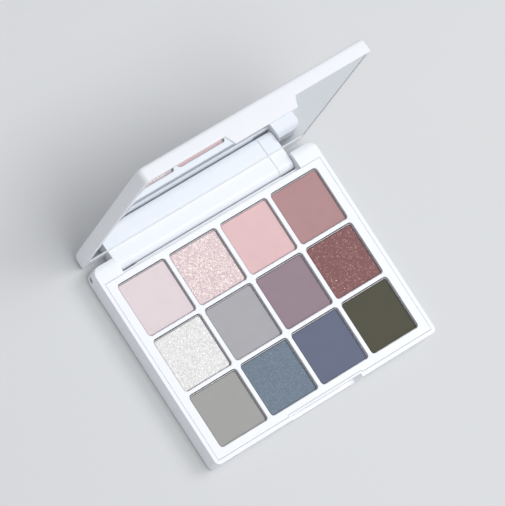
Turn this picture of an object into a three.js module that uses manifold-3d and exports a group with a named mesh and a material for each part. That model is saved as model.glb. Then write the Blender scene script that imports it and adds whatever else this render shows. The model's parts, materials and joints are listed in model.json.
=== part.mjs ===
// Twelve-shade eyeshadow palette: a flat box with a mirrored lid on a rear pin hinge.
// Millimetres. +Z is up, +X is to the right and -Y is the front, where the lid opens.
// The origin is the middle of the underside. The lid is drawn closed and then swung open.
import * as THREE from 'three';
import { mergeVertices } from 'three/addons/utils/BufferGeometryUtils.js';
import Module from 'manifold-3d';

const wasm = await Module();
wasm.setup();

// ---------------------------------------------------------------- driving dimensions
const WIDTH = 92.8; // case, along X
const DEPTH = 74.4; // base, along Y
const FRONT = -DEPTH / 2;
const BACK = DEPTH / 2;
const FRONT_CORNER_R = 1.8;
const BACK_CORNER_R = 3.0;
const WALL = 1.4;
const CLEARANCE = 0.3; // between the lid and the base

const BASE_HEIGHT = 7.3;
const FLOOR_THICKNESS = 1.2;
const BASE_EDGE_R = 1.0;
const EAR_EDGE_R = 3.0;
const EAR_TOP_R = 4.55; // round the hinge axis, so that the lid's rim swings clear

const HINGE_Y = 34.8;
const HINGE_Z = 2.75;
const OPEN_ANGLE = 95.2; // degrees, the lid's stop
const PIN_R = 0.8;
const BORE_R = 1.0;
const PIN_OUTER_X = 45.9;
const PIN_INNER_X = 33.4;

const LUG_R = 2.4;
const LUG_CLEARANCE = 0.2; // round the lug, in the base's slot
const LUG_HALF = 36.7;
const COLLAR_R = 2.7;
const COLLAR_WIDTH = 6.0;
const SLOT_WALL_Z = 5.2; // top of the base's wall in front of the lug
const SLOT_EDGE_R = 0.5;
const EAR_INNER_X = LUG_HALF + CLEARANCE;

const RIM_Z = 7.5; // the lid's rim when shut
const LID_THICKNESS = 5.1;
const LID_BACK = HINGE_Y + 2.0;
const LID_EDGE_R = 1.2;
const LID_BACK_EDGE_R = 3.0;
const LID_RIM_EDGE = 0.3;

const MIRROR_BACK = 31.0;
const MIRROR_THICKNESS = 1.6;
const MIRROR_RECESS = 0.2;
const TAPE_THICKNESS = 0.4;
const TAPE_MARGIN = 3.0;
const GLUE_GAP = 0.25;
const LID_RIM = 1.4;

const TAB_HALF = 13.0; // at the tab's lower edge
const TAB_FLARE = 1.4; // more on each side at the rim
const TAB_DROP = 3.7;
const TAB_THICKNESS = 1.0;
const TAB_CORNER_R = 0.8;
const NOTCH_WALL_Y = FRONT + TAB_THICKNESS + CLEARANCE;
const CATCH_HALF = 7.0;
const CATCH_Z = 4.7;
const CATCH_R = 0.45;
const CATCH_PROUD = 0.2;

const COLUMNS = 4;
const ROWS = 3;
const PITCH_X = 21.28;
const PITCH_Y = 21.06;
const GRID_Y = -2.05; // middle of the grid of pans
const OPENING = 19.8;
const OPENING_R = 1.3;
const TRAY_PLATE = 1.2;
const TRAY_GAP = 0.08;
const TRAY_BACK = 30.95;
const WELL_WALL = 1.1;
const WELL_BOTTOM = 2.0;
const WELL_FLOOR = 3.0;
const EJECT_HOLE_R = 2.0;

const PAN = 19.5;
const PAN_R = 1.2;
const PAN_WALL = 0.25;
const PAN_FORWARD = 0.11; // each pan sits towards the front of its well
const PAN_LIFT = 0.05;
const PAN_RIM_Z = 6.55;
const CAKE_GAP = 0.03;
const CAKE_TOP_Z = 6.45;

// Row 0 is the back row, and column 0 is at the left.
const SHADES = [
  [['pale_lilac', 0xddd2da], ['pink_glitter', 0xe3c9ca], ['baby_pink', 0xe8bfc6], ['dusty_rose', 0xb98f92]],
  [['silver_glitter', 0xe2e2de], ['cool_grey', 0xaeacb0], ['mauve', 0x9f8a99], ['wine_glitter', 0x8f5f62]],
  [['stone_grey', 0xa5a6a2], ['teal_shimmer', 0x6e8390], ['slate_violet', 0x6e6f89], ['olive_brown', 0x565146]],
];

// ---------------------------------------------------------------- geometry helpers
const ARC_STEPS = 7;

// Rounded rectangle from (x0, y0) to (x1, y1); the front and back corners have their own radii.
function roundedOutline(x0, x1, y0, y1, frontR, backR) {
  const corners = [
    [x1 - frontR, y0 + frontR, frontR, -90],
    [x1 - backR, y1 - backR, backR, 0],
    [x0 + backR, y1 - backR, backR, 90],
    [x0 + frontR, y0 + frontR, frontR, 180],
  ];
  const points = [];
  for (const [cx, cy, r, start] of corners) {
    for (let i = 0; i <= ARC_STEPS; i += 1) {
      const a = THREE.MathUtils.degToRad(start + (90 * i) / ARC_STEPS);
      points.push(new THREE.Vector2(cx + r * Math.cos(a), cy + r * Math.sin(a)));
    }
  }
  return points;
}

function squareOutline(size, r, inset = 0) {
  const h = size / 2 - inset;
  const cornerR = Math.max(r - inset, 0.2);
  return roundedOutline(-h, h, -h, h, cornerR, cornerR);
}

// Skin over a stack of outlines with equal point counts, closed by a cap at each end.
function stack(levels) {
  const count = levels[0].outline.length;
  const positions = levels.flatMap(({ outline, z }) => outline.flatMap((p) => [p.x, p.y, z]));
  const index = [];
  for (let level = 0; level + 1 < levels.length; level += 1) {
    for (let i = 0; i < count; i += 1) {
      const j = (i + 1) % count;
      const a = level * count + i;
      const b = level * count + j;
      index.push(a, b, b + count, a, b + count, a + count);
    }
  }
  for (const [a, b, c] of THREE.ShapeUtils.triangulateShape(levels[0].outline, [])) {
    index.push(c, b, a);
  }
  const last = (levels.length - 1) * count;
  for (const [a, b, c] of THREE.ShapeUtils.triangulateShape(levels.at(-1).outline, [])) {
    index.push(last + a, last + b, last + c);
  }
  const geometry = new THREE.BufferGeometry();
  geometry.setAttribute('position', new THREE.Float32BufferAttribute(positions, 3));
  geometry.setIndex(index);
  return geometry;
}

const prism = (outline, z0, z1) => stack([{ outline, z: z0 }, { outline, z: z1 }]);

function box(x0, x1, y0, y1, z0, z1) {
  const geometry = new THREE.BoxGeometry(x1 - x0, y1 - y0, z1 - z0);
  return geometry.translate((x0 + x1) / 2, (y0 + y1) / 2, (z0 + z1) / 2);
}

// Extrusion along X of a profile drawn in the Y-Z plane.
function alongX(points, x0, x1) {
  const geometry = prism(points, x0, x1);
  const turn = new THREE.Matrix4().makeBasis(
    new THREE.Vector3(0, 1, 0),
    new THREE.Vector3(0, 0, 1),
    new THREE.Vector3(1, 0, 0),
  );
  return geometry.applyMatrix4(turn);
}

// Extrusion along Y of a profile drawn in the X-Z plane.
function alongY(points, y0, y1) {
  const turn = new THREE.Matrix4().makeBasis(
    new THREE.Vector3(1, 0, 0),
    new THREE.Vector3(0, 0, 1),
    new THREE.Vector3(0, -1, 0),
  );
  return prism(points, -y1, -y0).applyMatrix4(turn);
}

function arc(cy, cz, ry, rz, startDeg, endDeg, steps) {
  return Array.from({ length: steps + 1 }, (_, i) => {
    const a = THREE.MathUtils.degToRad(startDeg + ((endDeg - startDeg) * i) / steps);
    return new THREE.Vector2(cy + ry * Math.cos(a), cz + rz * Math.sin(a));
  });
}

function rodAlongX(r, x0, x1, y, z, sides = 24) {
  const geometry = new THREE.CylinderGeometry(r, r, x1 - x0, sides);
  return geometry.rotateZ(-Math.PI / 2).translate((x0 + x1) / 2, y, z);
}

function solid(geometry) {
  const bare = geometry.clone();
  bare.deleteAttribute('normal');
  bare.deleteAttribute('uv');
  const merged = mergeVertices(bare, 1e-4);
  return new wasm.Manifold(new wasm.Mesh({
    numProp: 3,
    vertProperties: new Float32Array(merged.attributes.position.array),
    triVerts: new Uint32Array(merged.index.array),
  }));
}

const join = (geometries) => geometries.map(solid).reduce((a, b) => a.add(b));
const cut = (body, geometries) => geometries.map(solid).reduce((a, b) => a.subtract(b), body);

function toGeometry(body) {
  const { vertProperties, triVerts } = body.getMesh();
  const geometry = new THREE.BufferGeometry();
  geometry.setAttribute('position', new THREE.BufferAttribute(vertProperties, 3));
  geometry.setIndex(new THREE.BufferAttribute(triVerts, 1));
  return geometry;
}

function part(name, geometry, color, roughness, metalness = 0) {
  const shaded = geometry.index ? geometry.toNonIndexed() : geometry;
  shaded.computeVertexNormals();
  const mesh = new THREE.Mesh(shaded, new THREE.MeshStandardMaterial({ color, roughness, metalness }));
  mesh.name = name;
  return mesh;
}

const WHITE = 0xf1f2f6;
const STEEL = 0x9a9ca0;

// ---------------------------------------------------------------- base shell
// Outline of the case, drawn in by inset, with a separate back edge.
function caseOutline(inset, back) {
  const half = WIDTH / 2 - inset;
  return roundedOutline(
    -half, half, FRONT + inset, back, FRONT_CORNER_R - inset / 2, BACK_CORNER_R - inset / 2,
  );
}

// Outline of the tray's room in the base, with a step round the front notch.
function roomOutline(gap, back) {
  const side = WIDTH / 2 - WALL - gap;
  const front = FRONT + WALL + gap;
  const step = NOTCH_WALL_Y + WALL / 2 + gap;
  const stepHalf = TAB_HALF + TAB_FLARE + CLEARANCE + WALL / 2 + gap;
  return [
    [-side, front], [-stepHalf, front], [-stepHalf, step], [stepHalf, step], [stepHalf, front],
    [side, front], [side, back], [-side, back],
  ].map(([x, y]) => new THREE.Vector2(x, y));
}

function baseShell() {
  const levels = [];
  const steps = 4;
  for (let i = 0; i <= steps; i += 1) {
    const a = (Math.PI / 2) * (i / steps);
    const rise = 1 - Math.cos(a);
    const draw = 1 - Math.sin(a);
    levels.push({
      outline: caseOutline(BASE_EDGE_R * draw, BACK - BASE_EDGE_R * draw),
      z: BASE_EDGE_R * rise,
    });
  }
  levels.push({ outline: caseOutline(0, BACK), z: BASE_HEIGHT });

  const trayRoom = prism(roomOutline(0, TRAY_BACK + TRAY_GAP), FLOOR_THICKNESS, BASE_HEIGHT + 1);
  const notch = alongY(tabOutline(CLEARANCE), FRONT - 1, NOTCH_WALL_Y);
  const bores = [-1, 1].map((side) => {
    const ends = [side * (EAR_INNER_X - 1), side * (WIDTH / 2 + 1)].sort((a, b) => a - b);
    return rodAlongX(BORE_R, ends[0], ends[1], HINGE_Y, HINGE_Z);
  });

  // The ears' back edges are round, so that the lid clears them as it swings.
  const earTop = [
    new THREE.Vector2(BACK + 1, HINGE_Z + EAR_TOP_R * Math.SQRT1_2),
    new THREE.Vector2(BACK + 1, BASE_HEIGHT + 1),
    new THREE.Vector2(HINGE_Y, BASE_HEIGHT + 1),
    ...arc(HINGE_Y, HINGE_Z, EAR_TOP_R, EAR_TOP_R, 90, 45, 8),
  ];
  const slotY = HINGE_Y - LUG_R - LUG_CLEARANCE;
  const slotWallTop = [
    new THREE.Vector2(slotY + 1, SLOT_WALL_Z - SLOT_EDGE_R),
    new THREE.Vector2(slotY + 1, BASE_HEIGHT + 1),
    new THREE.Vector2(TRAY_BACK, BASE_HEIGHT + 1),
    new THREE.Vector2(TRAY_BACK, SLOT_WALL_Z),
    ...arc(slotY - SLOT_EDGE_R, SLOT_WALL_Z - SLOT_EDGE_R, SLOT_EDGE_R, SLOT_EDGE_R, 90, 0, 6),
  ];
  const earEdge = [
    new THREE.Vector2(BACK + 1, -1),
    new THREE.Vector2(BACK + 1, EAR_EDGE_R),
    ...arc(BACK - EAR_EDGE_R, EAR_EDGE_R, EAR_EDGE_R, EAR_EDGE_R, 0, -90, 6),
    new THREE.Vector2(BACK - EAR_EDGE_R, -1),
  ];

  let body = cut(solid(stack(levels)), [
    trayRoom, notch, ...bores, hingeSlot(LUG_R, EAR_INNER_X),
    alongX(earEdge, -WIDTH, WIDTH), alongX(earTop, -WIDTH, WIDTH),
    alongX(slotWallTop, -EAR_INNER_X, EAR_INNER_X),
  ]);
  for (const side of [-1, 1]) {
    const ends = [side * (LUG_HALF - COLLAR_WIDTH - CLEARANCE), side * EAR_INNER_X];
    const [x0, x1] = ends.sort((a, b) => a - b);
    body = body.subtract(solid(alongX(slotProfile(COLLAR_R), x0, x1)));
  }

  // Ribs on the floor carry the tray.
  const ribs = [-PITCH_X, 0, PITCH_X].map((x) => box(
    x - 0.6, x + 0.6, GRID_Y - 1.5 * PITCH_Y, GRID_Y + 1.5 * PITCH_Y,
    FLOOR_THICKNESS - 0.2, WELL_BOTTOM - 0.05,
  ));
  const catchBar = rodAlongX(
    CATCH_R, -CATCH_HALF, CATCH_HALF, NOTCH_WALL_Y + CATCH_R - CATCH_PROUD, CATCH_Z, 12,
  );
  return body.add(join([...ribs, catchBar]));
}

// Room for the lid's lug: upright in front, round below, open behind and underneath.
function slotProfile(lugR) {
  const r = lugR + LUG_CLEARANCE;
  const lipDegrees = 226; // where the floor's lip ends under the lug
  return [
    new THREE.Vector2(HINGE_Y - r, BASE_HEIGHT + 1),
    ...arc(HINGE_Y, HINGE_Z, r, LUG_R + LUG_CLEARANCE, 180, lipDegrees, 4),
    new THREE.Vector2(HINGE_Y + r * Math.cos(THREE.MathUtils.degToRad(lipDegrees)), -1),
    new THREE.Vector2(BACK + 1, -1),
    new THREE.Vector2(BACK + 1, BASE_HEIGHT + 1),
  ];
}

const hingeSlot = (lugR, half) => alongX(slotProfile(lugR), -half, half);

// ---------------------------------------------------------------- pan tray
function gridCentres() {
  const cells = [];
  for (let row = 0; row < ROWS; row += 1) {
    for (let column = 0; column < COLUMNS; column += 1) {
      cells.push({
        row,
        column,
        x: (column - (COLUMNS - 1) / 2) * PITCH_X,
        y: GRID_Y + ((ROWS - 1) / 2 - row) * PITCH_Y,
      });
    }
  }
  return cells;
}

function panTray() {
  const plate = prism(roomOutline(TRAY_GAP, TRAY_BACK), BASE_HEIGHT - TRAY_PLATE, BASE_HEIGHT);
  const halfX = ((COLUMNS - 1) * PITCH_X + OPENING) / 2 + WELL_WALL;
  const halfY = ((ROWS - 1) * PITCH_Y + OPENING) / 2 + WELL_WALL;
  const block = box(
    -halfX, halfX, GRID_Y - halfY, GRID_Y + halfY, WELL_BOTTOM, BASE_HEIGHT - TRAY_PLATE / 2,
  );
  // The back edge hangs lower than the plate, to meet the base's wall in front of the lug.
  const backEdge = box(
    -halfX, halfX, GRID_Y + halfY - 0.1, TRAY_BACK, SLOT_WALL_Z - 0.4, BASE_HEIGHT - TRAY_PLATE / 2,
  );
  const cuts = [];
  for (const { x, y } of gridCentres()) {
    cuts.push(prism(squareOutline(OPENING, OPENING_R), WELL_FLOOR, BASE_HEIGHT + 1).translate(x, y, 0));
    const eject = new THREE.CylinderGeometry(EJECT_HOLE_R, EJECT_HOLE_R, 3, 16).rotateX(Math.PI / 2);
    cuts.push(eject.translate(x, y, WELL_FLOOR - 1));
  }
  return cut(join([plate, block, backEdge]), cuts);
}

// ---------------------------------------------------------------- pans and pressed shadow
function pan() {
  const foot = 0.15;
  const ring = (inset, z) => ({ outline: squareOutline(PAN, PAN_R, inset), z });
  return stack([
    ring(foot, WELL_FLOOR + PAN_LIFT),
    ring(0, WELL_FLOOR + PAN_LIFT + foot),
    ring(0, PAN_RIM_Z),
    ring(PAN_WALL, PAN_RIM_Z),
    ring(PAN_WALL, WELL_FLOOR + PAN_LIFT + PAN_WALL),
  ]);
}

function cake() {
  const chamfer = 0.12;
  const ring = (inset, z) => ({ outline: squareOutline(PAN, PAN_R, PAN_WALL + CAKE_GAP + inset), z });
  return stack([
    ring(0, WELL_FLOOR + PAN_LIFT + PAN_WALL + CAKE_GAP),
    ring(0, CAKE_TOP_Z - chamfer),
    ring(chamfer, CAKE_TOP_Z),
  ]);
}

// ---------------------------------------------------------------- lid
function lugProfile(frontR) {
  return [
    new THREE.Vector2(HINGE_Y - frontR, RIM_Z + 1),
    ...arc(HINGE_Y, HINGE_Z, frontR, LUG_R, 180, 270, 8),
    ...arc(HINGE_Y, HINGE_Z, LID_BACK - HINGE_Y, LUG_R, 270, 360, 8).slice(1),
    new THREE.Vector2(LID_BACK, RIM_Z + 1),
  ];
}

function lidShell() {
  const top = RIM_Z + LID_THICKNESS;
  const levels = [
    { outline: caseOutline(LID_RIM_EDGE, LID_BACK), z: RIM_Z },
    { outline: caseOutline(LID_RIM_EDGE * 0.3, LID_BACK), z: RIM_Z + LID_RIM_EDGE * 0.3 },
    { outline: caseOutline(0, LID_BACK), z: RIM_Z + LID_RIM_EDGE },
  ];
  const backSteps = 6;
  for (let i = 0; i <= backSteps; i += 1) {
    const a = (Math.PI / 2) * (i / backSteps);
    const z = top - LID_BACK_EDGE_R * (1 - Math.sin(a));
    const backIn = LID_BACK_EDGE_R * (1 - Math.cos(a));
    const over = Math.max(0, z - (top - LID_EDGE_R));
    const sideIn = LID_EDGE_R - Math.sqrt(LID_EDGE_R ** 2 - over ** 2);
    levels.push({ outline: caseOutline(sideIn, LID_BACK - backIn), z });
  }

  const tab = alongY(tabOutline(0), FRONT, FRONT + TAB_THICKNESS);
  const collars = [-1, 1].map((side) => {
    const ends = [side * (LUG_HALF - COLLAR_WIDTH), side * LUG_HALF].sort((a, b) => a - b);
    return alongX(lugProfile(COLLAR_R), ends[0], ends[1]);
  });
  const body = join([
    stack(levels), alongX(lugProfile(LUG_R), -LUG_HALF + 1, LUG_HALF - 1), ...collars, tab,
  ]);

  const recess = prism(
    mirrorOutline(0), RIM_Z - 0.01,
    RIM_Z + MIRROR_RECESS + MIRROR_THICKNESS + TAPE_THICKNESS + 2 * GLUE_GAP,
  );
  const bores = [-1, 1].map((side) => {
    const ends = [side * (PIN_INNER_X - 0.5), side * (LUG_HALF + 1)].sort((a, b) => a - b);
    return rodAlongX(BORE_R, ends[0], ends[1], HINGE_Y, HINGE_Z);
  });
  const catchGroove = rodAlongX(
    CATCH_R, -CATCH_HALF - 0.4, CATCH_HALF + 0.4, FRONT + TAB_THICKNESS + CATCH_R / 2, CATCH_Z, 12,
  );
  return cut(body, [recess, ...bores, catchGroove]);
}

// The front tab hangs from the rim: wider at the top, with round lower corners. The gap draws the
// outline of the notch round it.
function tabOutline(gap) {
  const low = RIM_Z - TAB_DROP - gap;
  const high = RIM_Z + 1;
  const slope = TAB_FLARE / TAB_DROP;
  const half = TAB_HALF + gap;
  const r = TAB_CORNER_R;
  const round = arc(half - r, low + r, r, r, -90, 0, 4);
  const right = [...round, new THREE.Vector2(half + slope * (high - low), high)];
  const left = right.map(({ x, y }) => new THREE.Vector2(-x, y)).reverse();
  return [...right, ...left];
}

function mirrorOutline(gap) {
  const half = WIDTH / 2 - LID_RIM - gap;
  return roundedOutline(-half, half, FRONT + LID_RIM + gap, MIRROR_BACK - gap, 1.2, 1.2);
}

function mirrorGlass() {
  const z0 = RIM_Z + MIRROR_RECESS;
  return stack([
    { outline: mirrorOutline(0.35), z: z0 },
    { outline: mirrorOutline(0.3), z: z0 + 0.1 },
    { outline: mirrorOutline(0.3), z: z0 + MIRROR_THICKNESS },
  ]);
}

function mirrorTape() {
  const z0 = RIM_Z + MIRROR_RECESS + MIRROR_THICKNESS + GLUE_GAP;
  return prism(mirrorOutline(TAPE_MARGIN), z0, z0 + TAPE_THICKNESS);
}

// ---------------------------------------------------------------- assembly
const palette = new THREE.Group();
palette.add(part('base_shell', toGeometry(baseShell()), WHITE, 0.42));
palette.add(part('pan_tray', toGeometry(panTray()), WHITE, 0.45));

for (const { row, column, x, y } of gridCentres()) {
  const [shade, color] = SHADES[row][column];
  const metalPan = part(`pan_${shade}`, pan(), STEEL, 0.35, 1);
  metalPan.position.set(x, y - PAN_FORWARD, 0);
  const pressed = part(`shadow_${shade}`, cake(), color, 0.9);
  pressed.position.set(x, y - PAN_FORWARD, 0);
  palette.add(metalPan, pressed);
}

for (const [name, side] of [['hinge_pin_left', -1], ['hinge_pin_right', 1]]) {
  const ends = [side * PIN_INNER_X, side * PIN_OUTER_X].sort((a, b) => a - b);
  palette.add(part(name, rodAlongX(PIN_R, ends[0], ends[1], HINGE_Y, HINGE_Z), STEEL, 0.3, 1));
}

// The lid turns about the pins.
const lid = new THREE.Group();
lid.position.set(0, HINGE_Y, HINGE_Z);
lid.rotation.x = THREE.MathUtils.degToRad(-OPEN_ANGLE);
const shut = new THREE.Group();
shut.position.set(0, -HINGE_Y, -HINGE_Z);
shut.add(
  part('lid_shell', toGeometry(lidShell()), WHITE, 0.42),
  part('mirror_glass', mirrorGlass(), 0xd9dee2, 0.02, 1),
  part('mirror_tape', mirrorTape(), 0xe9e9e6, 0.8),
);
lid.add(shut);
palette.add(lid);

export default palette;
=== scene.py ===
"""Eyeshadow palette: looks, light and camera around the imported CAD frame. Metres, +Z up."""

import json
import math
import random

import bmesh
import bpy
from mathutils import Matrix, Vector, noise


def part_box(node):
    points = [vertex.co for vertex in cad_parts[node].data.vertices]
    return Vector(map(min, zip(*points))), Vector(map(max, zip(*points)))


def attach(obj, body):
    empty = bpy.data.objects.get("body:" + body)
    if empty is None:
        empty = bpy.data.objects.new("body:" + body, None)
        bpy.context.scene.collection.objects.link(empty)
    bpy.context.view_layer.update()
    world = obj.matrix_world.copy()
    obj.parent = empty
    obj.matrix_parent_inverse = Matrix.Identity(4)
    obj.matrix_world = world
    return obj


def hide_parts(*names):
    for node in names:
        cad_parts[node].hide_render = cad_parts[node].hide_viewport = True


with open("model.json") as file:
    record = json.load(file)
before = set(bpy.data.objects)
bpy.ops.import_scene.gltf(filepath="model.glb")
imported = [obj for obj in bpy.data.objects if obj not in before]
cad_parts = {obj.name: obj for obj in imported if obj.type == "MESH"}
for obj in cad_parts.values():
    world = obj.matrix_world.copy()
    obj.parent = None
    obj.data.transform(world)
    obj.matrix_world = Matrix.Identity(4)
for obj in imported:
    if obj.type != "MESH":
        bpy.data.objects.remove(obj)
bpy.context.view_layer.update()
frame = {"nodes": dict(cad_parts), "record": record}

MM = 0.001
SHADES = [
    slot["slot"].removeprefix("powder_")
    for slot in frame["record"]["materials"]
    if slot["slot"].startswith("powder_")
]


# ---------------------------------------------------------------- camera
def make_camera():
    """A long lens from the left and above, rolled so that the case runs up to the right."""
    target = Vector((5.4, 15.4, 7.3)) * MM
    azimuth, elevation, roll = map(math.radians, (-81.56, 62.82, 49.55))
    distance = 2.0857
    direction = Vector((
        math.sin(azimuth) * math.cos(elevation),
        -math.cos(azimuth) * math.cos(elevation),
        math.sin(elevation),
    ))
    data = bpy.data.cameras.new("camera")
    data.sensor_fit = "HORIZONTAL"
    data.sensor_width = 36.0
    data.lens = 461.5
    data.clip_end = 20.0
    camera = bpy.data.objects.new("camera", data)
    camera.location = target + direction * distance
    look = (-direction).to_track_quat("-Z", "Y").to_matrix()
    camera.rotation_euler = (look @ Matrix.Rotation(roll, 3, "Z")).to_euler()
    bpy.context.scene.collection.objects.link(camera)
    bpy.context.scene.camera = camera


# ---------------------------------------------------------------- node helpers
class Nodes:
    """A short way to write a node tree."""

    def __init__(self, name):
        self.material = bpy.data.materials.new(name)
        self.material.use_nodes = True
        self.tree = self.material.node_tree
        self.shader = self.tree.nodes["Principled BSDF"]
        coords = self.tree.nodes.new("ShaderNodeTexCoord")
        self.place = coords.outputs["Object"]

    def add(self, kind, settings=None, **inputs):
        node = self.tree.nodes.new(kind)
        for key, value in (settings or {}).items():
            setattr(node, key, value)
        for key, value in inputs.items():
            self.put(node.inputs[key.replace("_", " ")], value)
        return node

    def put(self, socket, value):
        if isinstance(value, bpy.types.NodeSocket):
            self.tree.links.new(value, socket)
        else:
            socket.default_value = value

    def set(self, **inputs):
        for key, value in inputs.items():
            self.put(self.shader.inputs[key.replace("_", " ")], value)

    def grain(self, size, detail=2.0, stretch=None):
        """Noise whose features are about size metres across; its Fac output."""
        place = self.place
        if stretch:
            mapping = self.add("ShaderNodeMapping", Vector=self.place, Scale=stretch)
            place = mapping.outputs["Vector"]
        node = self.add("ShaderNodeTexNoise", Vector=place, Scale=1.0 / size, Detail=detail)
        return node.outputs["Fac"]

    def ramp(self, fac, low, high, start=0.3, end=0.7):
        node = self.add("ShaderNodeMapRange", Value=fac, From_Min=start, From_Max=end,
                        To_Min=low, To_Max=high)
        return node.outputs["Result"]

    def mix(self, fac, a, b):
        node = self.add("ShaderNodeMix", {"data_type": "RGBA"})
        self.put(node.inputs["Factor"], fac)
        self.put(node.inputs["A"], a)
        self.put(node.inputs["B"], b)
        return node.outputs["Result"]

    def bump(self, height, depth, strength=1.0):
        node = self.add("ShaderNodeBump", Height=height, Distance=depth, Strength=strength)
        return node.outputs["Normal"]


def rgba(*color):
    return (*color, 1.0)


def scaled(color, k):
    """A colour k times as bright, never past white."""
    return rgba(*(min(1.0, c * k) for c in color))


# ---------------------------------------------------------------- materials
def plastic(name, color, roughness):
    """Moulded satin plastic: a faint cloud in the colour and a fine eroded-tool texture."""
    texture_depth = 0.012 * MM
    n = Nodes(name)
    cloud = n.grain(9 * MM, 3.0)
    n.set(
        Base_Color=n.mix(n.ramp(cloud, 0.0, 1.0), scaled(color, 0.985), rgba(*color)),
        Roughness=n.ramp(n.grain(2.5 * MM, 4.0), roughness - 0.04, roughness + 0.05),
        IOR=1.49,
        Normal=n.bump(n.grain(0.12 * MM, 3.0), texture_depth, 0.35),
        Subsurface_Weight=0.08,
        Subsurface_Radius=(1.0, 0.95, 0.9),
        Subsurface_Scale=0.0012,
        Coat_Weight=0.12,
        Coat_Roughness=0.18,
    )
    return n.material


def mirror():
    """Silvered glass with the faintest haze; its blue-grey tint is partly its own and partly painted
    shade.
    """
    n = Nodes("mirror_silver")
    drift = n.ramp(n.grain(20 * MM), 0.0, 1.0)
    n.set(
        # painted shade: both tints are darker than silver, so that the pale floor seen in the mirror
        # looks greyer
        Base_Color=n.mix(drift, rgba(0.76, 0.81, 0.85), rgba(0.78, 0.83, 0.87)),
        Metallic=1.0,
        Roughness=n.ramp(n.grain(6 * MM, 5.0), 0.0, 0.02),
    )
    return n.material


def aluminium():
    """Stamped pan metal, drawn in the press and a little dull."""
    n = Nodes("pan_aluminium")
    n.set(
        Base_Color=n.mix(n.grain(0.8 * MM, 4.0), rgba(0.34, 0.34, 0.36), rgba(0.44, 0.44, 0.46)),
        Metallic=1.0,
        Roughness=n.ramp(n.grain(0.5 * MM, 3.0), 0.26, 0.42),
        Normal=n.bump(n.grain(0.25 * MM, 2.0), 0.01 * MM),
    )
    return n.material


def brushed_steel():
    """Cut pin wire, with drawing lines along X."""
    n = Nodes("pin_steel")
    lines = n.grain(0.08 * MM, 2.0, stretch=(0.05, 1.0, 1.0))
    n.set(
        Base_Color=n.mix(lines, rgba(0.38, 0.38, 0.40), rgba(0.56, 0.56, 0.58)),
        Metallic=1.0,
        Roughness=n.ramp(lines, 0.22, 0.4),
        Normal=n.bump(lines, 0.01 * MM),
    )
    return n.material


def foam():
    """Open-celled foam pad."""
    cell_size = 0.3 * MM
    n = Nodes("tape_foam")
    cells = n.add("ShaderNodeTexVoronoi", Vector=n.place, Scale=1 / cell_size).outputs["Distance"]
    n.set(
        Base_Color=n.mix(cells, rgba(0.85, 0.85, 0.82), rgba(0.7, 0.7, 0.68)),
        Roughness=n.ramp(cells, 0.8, 0.95),
        Normal=n.bump(cells, 0.1 * MM),
    )
    return n.material


def matt_powder(name, color):
    """Pressed matt pigment: fine grain, soft clouds and a dry surface."""
    contrast = 0.07
    n = Nodes(name)
    grain = n.grain(0.14 * MM, 4.0)
    cloud = n.grain(5 * MM, 2.0)
    base = n.mix(n.ramp(cloud, 0.0, 1.0), scaled(color, 0.97), scaled(color, 1.03))
    speck = n.mix(n.ramp(grain, 0.0, 1.0), scaled(color, 1 - contrast), scaled(color, 1 + contrast))
    n.set(
        Base_Color=n.mix(0.5, base, speck),
        Roughness=n.ramp(grain, 0.82, 0.96),
        Specular_IOR_Level=0.25,
        Sheen_Weight=0.12,
        Sheen_Roughness=0.5,
        Normal=n.bump(grain, 0.05 * MM, 0.5),
    )
    return n.material


def glitter_powder(name, color, bright, share, low, size):
    """Pressed powder full of fine flake: each cell of it has its own tone and its own tilt.

    color is the powder's and bright the brightest flake's. share is how much of the surface is flake,
    low is the darkest flake's tone against the powder, and size is a cell's width in metres.
    """
    n = Nodes(name)
    cells = n.add("ShaderNodeTexVoronoi", Vector=n.place, Scale=1 / size)
    parts = n.add("ShaderNodeSeparateColor", Color=cells.outputs["Color"])
    is_flake = n.ramp(parts.outputs["Red"], 1.0, 0.0, share - 0.08, share + 0.08)
    tone = n.mix(parts.outputs["Green"], scaled(color, low), rgba(*bright))
    grain = n.grain(0.15 * MM, 3.0)
    base = n.mix(n.ramp(grain, 0.0, 1.0), scaled(color, 0.92), scaled(color, 1.05))
    n.set(
        Base_Color=n.mix(is_flake, base, tone),
        Metallic=n.ramp(is_flake, 0.0, 0.12, 0.0, 1.0),
        Roughness=n.ramp(is_flake, 0.85, 0.42, 0.0, 1.0),
        Normal=n.bump(parts.outputs["Blue"], 0.04 * MM, 0.6),
        Specular_IOR_Level=0.4,
    )
    return n.material


def flake_foil(name, color):
    """Loose flake: satin foil that drifts in tone from one flake to the next."""
    n = Nodes(name)
    drift = n.grain(1.2 * MM, 2.0)
    n.set(
        Base_Color=n.mix(n.ramp(drift, 0.0, 1.0), scaled(color, 0.85), scaled(color, 1.1)),
        Metallic=n.ramp(n.grain(0.8 * MM), 0.5, 0.8),
        Roughness=n.ramp(n.grain(0.3 * MM), 0.3, 0.46),
    )
    return n.material


# ---------------------------------------------------------------- mesh helpers
HARD_EDGE = math.radians(32)  # a CAD edge that turns more than this is rounded
FLAT_EDGE = math.radians(0.6)  # a CAD edge that turns less than this is only triangulation
SHARP_EDGE = math.radians(40)  # an edge that turns more than this is shaded sharp
WELD = 0.002 * MM


def link(name, mesh):
    piece = bpy.data.objects.new(name, mesh)
    bpy.context.scene.collection.objects.link(piece)
    return piece


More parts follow.
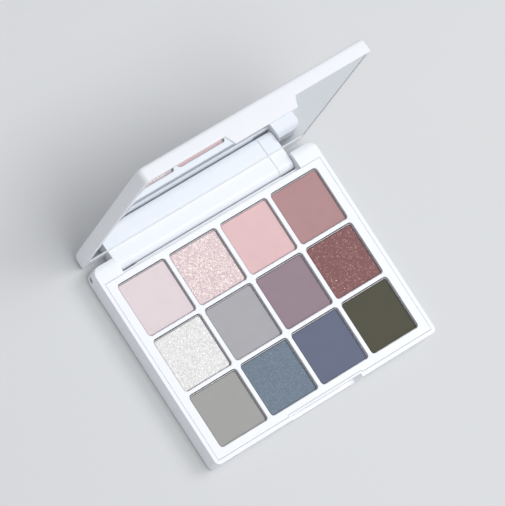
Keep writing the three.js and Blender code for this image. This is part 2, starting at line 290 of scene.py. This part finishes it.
def refined(node, name, radius, segments=3):
    """The CAD solid with its hard edges rounded, as a piece of its own that replaces the node."""
    bm = bmesh.new()
    bm.from_mesh(frame["nodes"][node].data)
    bmesh.ops.remove_doubles(bm, verts=bm.verts, dist=WELD)
    bmesh.ops.dissolve_limit(
        bm, angle_limit=FLAT_EDGE, verts=bm.verts, edges=bm.edges, delimit=set(),
    )
    bm.normal_update()
    hard = [e for e in bm.edges if len(e.link_faces) == 2 and e.calc_face_angle(0.0) > HARD_EDGE]
    bmesh.ops.bevel(
        bm, geom=hard, offset=radius, segments=segments, profile=0.5,
        affect="EDGES", offset_type="OFFSET", clamp_overlap=False, harden_normals=False,
    )
    bmesh.ops.triangulate(bm, faces=[f for f in bm.faces if len(f.verts) > 4])
    piece = smooth_piece(name, bm)
    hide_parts(node)
    return piece


def smooth_piece(name, bm):
    """An object from bm, shaded smooth, whose broad faces stay flat and only whose edges turn."""
    bm.normal_update()
    mesh = bpy.data.meshes.new(name)
    bm.to_mesh(mesh)
    bm.free()
    mesh.shade_smooth()
    mesh.set_sharp_from_angle(angle=SHARP_EDGE)
    piece = link(name, mesh)
    flat = piece.modifiers.new("broad faces flat", "WEIGHTED_NORMAL")
    flat.mode = "FACE_AREA"
    flat.weight = 100
    flat.keep_sharp = True
    return piece


def rounded_square(half, radius):
    """Points round a square with round corners, always the same number of them."""
    per_corner, per_side = 6, 16
    flat = half - radius
    points = []
    for turn in range(4):
        c, s = round(math.cos(turn * math.pi / 2)), round(math.sin(turn * math.pi / 2))
        edge = [
            (flat + radius * math.cos(a), flat + radius * math.sin(a))
            for a in (math.pi / 2 * i / per_corner for i in range(per_corner + 1))
        ]
        edge += [(flat * (1 - 2 * i / per_side), half) for i in range(1, per_side)]
        points += [(x * c - y * s, x * s + y * c) for x, y in edge]
    return points


def closed_rings(bm, rings):
    """Quads between rings of points, and a cap on the first and the last."""
    rows = [[bm.verts.new(p) for p in ring] for ring in rings]
    for low, high in zip(rows, rows[1:]):
        for i in range(len(low)):
            j = (i + 1) % len(low)
            bm.faces.new((low[i], low[j], high[j], high[i]))
    bm.faces.new(reversed(rows[0]))
    bm.faces.new(rows[-1])


# ---------------------------------------------------------------- pieces
def cover(piece, material):
    piece.data.materials.clear()
    piece.data.materials.append(material)


def finish_piece(piece, material, body):
    cover(piece, material)
    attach(piece, body)
    return piece


def make_case():
    white = plastic("case_white", (0.875, 0.885, 0.92), 0.34)
    tray_white = plastic("tray_white", (0.885, 0.895, 0.925), 0.38)
    finish_piece(refined("base_shell", "case_base", 0.07 * MM), white, "base")
    finish_piece(refined("pan_tray", "shade_tray", 0.05 * MM), tray_white, "base")
    finish_piece(refined("lid_shell", "case_lid", 0.18 * MM), white, "lid")
    finish_piece(refined("mirror_glass", "lid_mirror", 0.12 * MM), mirror(), "lid")
    cover(frame["nodes"]["mirror_tape"], foam())
    steel = brushed_steel()
    for side in ("left", "right"):
        pin = refined(f"hinge_pin_{side}", f"pin_{side}", 0.12 * MM)
        finish_piece(pin, steel, "base")


# Each shade's kind and colour. Glitter and shimmer also have the flake's brightest tone, its share of
# the surface, and how dark its darkest tone is against the powder.
LOOKS = {
    "pale_lilac": ("matt", (0.766, 0.660, 0.674)),
    "pink_glitter": ("glitter", (0.687, 0.534, 0.555), (0.953, 0.816, 0.773), 0.6, 0.9),
    "baby_pink": ("matt", (0.769, 0.520, 0.522)),
    "dusty_rose": ("matt", (0.457, 0.266, 0.267)),
    "silver_glitter": ("glitter", (0.741, 0.727, 0.713), (0.866, 0.850, 0.836), 0.6, 0.95),
    "cool_grey": ("matt", (0.422, 0.409, 0.428)),
    "mauve": ("matt", (0.313, 0.232, 0.269)),
    "wine_glitter": ("glitter", (0.240, 0.106, 0.106), (0.376, 0.189, 0.184), 0.22, 0.85),
    "stone_grey": ("matt", (0.375, 0.370, 0.357)),
    "teal_shimmer": ("shimmer", (0.150, 0.192, 0.248), (0.228, 0.293, 0.363), 0.4, 0.85),
    "slate_violet": ("matt", (0.142, 0.161, 0.235)),
    "olive_brown": ("matt", (0.090, 0.085, 0.059)),
}
# Loose flakes on the glitter shades: their colour and how many.
FLAKES = {
    "pink_glitter": ((0.80, 0.66, 0.60), 300),
    "silver_glitter": ((0.78, 0.78, 0.76), 300),
    "wine_glitter": ((0.58, 0.36, 0.30), 120),
}


CELL = {"glitter": 0.34 * MM, "shimmer": 0.16 * MM}


def powder(shade):
    look, color, *more = LOOKS[shade]
    if look == "matt":
        return matt_powder(f"powder_{shade}", color)
    return glitter_powder(f"powder_{shade}", color, *more, CELL[look])


EDGE = 0.34 * MM  # how soft a cake's pressed edge is
CORNER_R = 0.92 * MM
TOP_MARGIN = 0.02 * MM  # room for the unevenness under the CAD cake's top
# How far in from its side each ring of a cake lies: close together at the edge, then even.
INSETS = [
    k * MM for k in (
        0.02, 0.06, 0.12, 0.2, 0.28, 0.38, 0.6, 1.0,
        1.7, 2.5, 3.3, 4.1, 4.9, 5.7, 6.5, 7.3, 8.1, 8.8,
    )
]


def cake_height(x, y, shade):
    """The slight unevenness of a hand-pressed top, in metres."""
    seed = 31.0 * SHADES.index(shade)
    broad = noise.noise(Vector((x / (7 * MM), y / (7 * MM), seed)))
    fine = noise.noise(Vector((x / (1.6 * MM), y / (1.6 * MM), seed + 9.0)))
    return 0.022 * MM * broad + 0.006 * MM * fine


def pressed_cake(shade):
    """A cake of powder with a soft shoulder and a slightly uneven top."""
    low, high = (Vector(corner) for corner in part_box(f"shadow_{shade}"))
    middle = (low + high) / 2
    half = (high.x - low.x) / 2
    crown = high.z - TOP_MARGIN

    def ring(inset, z, uneven):
        outline = rounded_square(half - inset, max(CORNER_R - inset * 0.5, 0.1 * MM))
        return [
            (middle.x + x, middle.y + y, z + uneven * cake_height(middle.x + x, middle.y + y, shade))
            for x, y in outline
        ]

    rings = [ring(0.0, low.z, 0.0), ring(0.0, crown - EDGE, 0.0)]
    for inset in INSETS:
        fall = 1.0 - min(inset / EDGE, 1.0)
        rings.append(ring(inset, crown - EDGE * (1.0 - math.sqrt(1.0 - fall ** 2)), 1.0 - fall))
    bm = bmesh.new()
    closed_rings(bm, rings)
    piece = smooth_piece(f"cake_{shade}", bm)
    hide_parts(f"shadow_{shade}")
    return piece


def loose_flakes(shade, count):
    """Thin six-sided plates lying half sunk in the top of a cake, each tilted its own way."""
    bare_edge = 0.55 * MM
    lift = 0.01 * MM
    rng = random.Random(f"flakes {shade}")
    low, high = (Vector(corner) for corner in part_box(f"shadow_{shade}"))
    middle = (low + high) / 2
    reach = (high.x - low.x) / 2 - bare_edge
    bm = bmesh.new()
    for _ in range(count):
        x = middle.x + rng.uniform(-reach, reach)
        y = middle.y + rng.uniform(-reach, reach)
        z = high.z - TOP_MARGIN + cake_height(x, y, shade) + lift
        lean = Matrix.Rotation(math.radians(rng.uniform(2, 32)), 4, "X")
        spin = Matrix.Rotation(rng.uniform(0, math.tau), 4, "Z")
        turn = Matrix.Rotation(rng.uniform(0, math.tau), 4, "Z")
        width = rng.uniform(0.08, 0.17) * MM
        bmesh.ops.create_cone(
            bm, cap_ends=True, segments=6, radius1=width, radius2=width, depth=0.025 * MM,
            matrix=Matrix.Translation((x, y, z)) @ spin @ lean @ turn,
        )
    mesh = bpy.data.meshes.new(f"flakes_{shade}")
    bm.to_mesh(mesh)
    bm.free()
    return link(f"flakes_{shade}", mesh)


def make_shades():
    metal = aluminium()
    for shade in SHADES:
        pan = refined(f"pan_{shade}", f"metal_pan_{shade}", 0.06 * MM, segments=2)
        finish_piece(pan, metal, "base")
        finish_piece(pressed_cake(shade), powder(shade), "base")
    for shade, (color, count) in FLAKES.items():
        foil = flake_foil(f"foil_{shade}", color)
        finish_piece(loose_flakes(shade, count), foil, "base")


# ---------------------------------------------------------------- stage
def make_stage():
    bpy.ops.mesh.primitive_plane_add(size=6.0)
    floor = bpy.context.object
    floor.name = "floor"
    n = Nodes("floor_pale")
    n.set(
        Base_Color=n.mix(n.grain(0.3), rgba(0.675, 0.68, 0.685), rgba(0.695, 0.70, 0.705)),
        Roughness=n.ramp(n.grain(0.05), 0.85, 0.95),
    )
    floor.data.materials.append(n.material)

    world = bpy.data.worlds.new("studio")
    world.use_nodes = True
    background = world.node_tree.nodes["Background"]
    background.inputs["Color"].default_value = rgba(0.95, 0.97, 1.0)
    background.inputs["Strength"].default_value = 0.53
    bpy.context.scene.world = world
    bpy.context.scene.view_settings.view_transform = "Standard"


def area_light(name, location, size, power, color):
    """A round soft light that points at the object."""
    data = bpy.data.lights.new(name, "AREA")
    data.shape = "DISK"
    data.size = size
    data.energy = power
    data.color = color
    light = bpy.data.objects.new(name, data)
    light.location = location
    light.rotation_euler = (-Vector(location)).to_track_quat("-Z", "Y").to_euler()
    bpy.context.scene.collection.objects.link(light)


def make_lights():
    area_light("key", (0.8, -0.15, 1.1), 0.8, 6.0, (1.0, 1.0, 1.0))
    area_light("front", (0.0, -0.38, 1.39), 0.9, 6.6, (0.98, 0.99, 1.0))


make_camera()
make_case()
make_shades()
make_stage()
make_lights()
